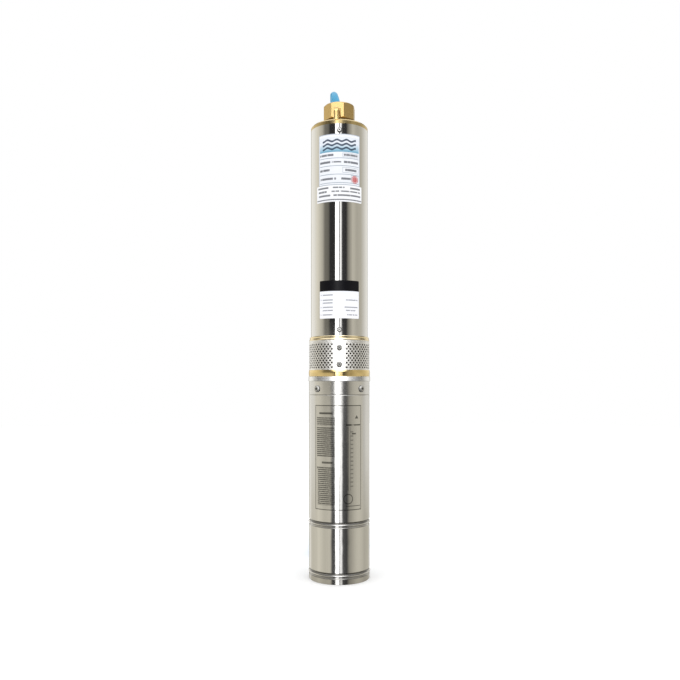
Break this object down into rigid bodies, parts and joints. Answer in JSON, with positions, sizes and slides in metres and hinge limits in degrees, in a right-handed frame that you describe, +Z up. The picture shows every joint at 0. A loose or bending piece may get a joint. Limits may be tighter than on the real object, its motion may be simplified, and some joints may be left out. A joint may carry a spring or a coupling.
{
  "type": "borehole submersible pump",
  "caption": "Slim upright borehole pump: steel motor barrel below, perforated intake strainer, steel pump barrel and brass threaded discharge head, with a blue supply cable leaving the top.",
  "frame": {"origin": "centre of the motor's flat bottom face, where the pump stands", "axes": "+Z up the pump's axis to the outlet, front with the strainer and lug screws facing -Y, cable on the +Y side"},
  "size_m": [0.1021, 0.4101, 0.8009],
  "materials": {
    "brass": "cast and turned, satin",
    "polished_steel": "polished stainless steel",
    "motor_steel": "satin stainless steel",
    "screw_steel": "plain stainless steel",
    "black_rubber": "matte",
    "cable_sheath": "satin blue sheath",
    "machined_steel": "turned steel",
    "bearing_steel": "ground",
    "chromed_rotor": "hard chromed",
    "stator_elastomer": "moulded",
    "core_laminations": "laminated",
    "copper_winding": "enamelled copper",
    "lead_insulation": "wire insulation",
    "cast_aluminium": "cast and turned",
    "seal_ceramic": "ceramic",
    "seal_carbon": "carbon",
    "cage_brass": "pressed",
    "tie_plastic": "nylon"
  },
  "bodies": {
    "pump_body": {"discharge_head": "brass", "cable_gland": "black_rubber", "pump_barrel": "polished_steel", "upper_barrel_screws": "screw_steel", "lower_barrel_screws": "screw_steel", "stator_tube": "machined_steel", "stator_rubber": "stator_elastomer", "stator_oring": "black_rubber", "intake_body": "brass", "strainer": "polished_steel", "strainer_screws": "screw_steel", "motor_top_cover": "polished_steel", "motor_cover_screws": "screw_steel", "top_cover_oring": "black_rubber", "cable_entry_seal": "black_rubber", "inner_cable": "cable_sheath", "motor_barrel": "motor_steel", "stator_core": "core_laminations", "stator_winding": "copper_winding", "lead_wires": "lead_insulation", "upper_bearing_outer": "bearing_steel", "lower_bearing_outer": "bearing_steel", "lower_bearing_housing": "cast_aluminium", "lower_housing_oring": "black_rubber", "diaphragm": "black_rubber", "diaphragm_clamp_ring": "machined_steel", "diaphragm_screws": "screw_steel", "bottom_cover": "cast_aluminium", "bottom_cover_oring": "black_rubber", "seal_seat": "seal_ceramic", "cable_lead": "cable_sheath", "cable_hank": "cable_sheath", "cable_tie": "tie_plastic"},
    "motor_rotor": {"motor_shaft": "machined_steel", "rotor_core": "core_laminations", "rotor_end_rings": "cast_aluminium", "upper_bearing_inner": "bearing_steel", "lower_bearing_inner": "bearing_steel", "seal_collar": "machined_steel", "seal_spring": "machined_steel", "seal_ring": "seal_carbon", "sand_slinger": "black_rubber", "shaft_coupling": "machined_steel", "coupling_screws": "screw_steel"},
    "upper_ball_set": {"upper_bearing_balls": "bearing_steel", "upper_bearing_cage": "cage_brass"},
    "lower_ball_set": {"lower_bearing_balls": "bearing_steel", "lower_bearing_cage": "cage_brass"},
    "flexing_rod": {"drive_rod": "machined_steel"},
    "screw_rotor": {"helical_rotor": "chromed_rotor"}
  },
  "joints": [
    {"name": "motor_spin", "type": "hinge", "parent": "pump_body", "child": "motor_rotor", "pos_m": [0, 0, 0.1957], "axis": [0, 0, 1], "continuous": true},
    {"name": "upper_balls_roll", "type": "hinge", "parent": "pump_body", "child": "upper_ball_set", "pos_m": [0, 0, 0.291], "axis": [0, 0, 1], "continuous": true},
    {"name": "lower_balls_roll", "type": "hinge", "parent": "pump_body", "child": "lower_ball_set", "pos_m": [0, 0, 0.1005], "axis": [0, 0, 1], "continuous": true},
    {"name": "rod_orbit", "type": "hinge", "parent": "pump_body", "child": "flexing_rod", "pos_m": [0, 0, 0.36], "axis": [0, 0, 1], "continuous": true},
    {"name": "rotor_spin", "type": "hinge", "parent": "flexing_rod", "child": "screw_rotor", "pos_m": [0.0025, 0, 0.44], "axis": [0, 0, 1], "continuous": true}
  ],
  "couplings": [
    {"joint": "upper_balls_roll", "follows": "motor_spin", "ratio": 0.38158},
    {"joint": "lower_balls_roll", "follows": "motor_spin", "ratio": 0.38158},
    {"joint": "rod_orbit", "follows": "motor_spin", "ratio": -1},
    {"joint": "rotor_spin", "follows": "motor_spin", "ratio": 2}
  ]
}
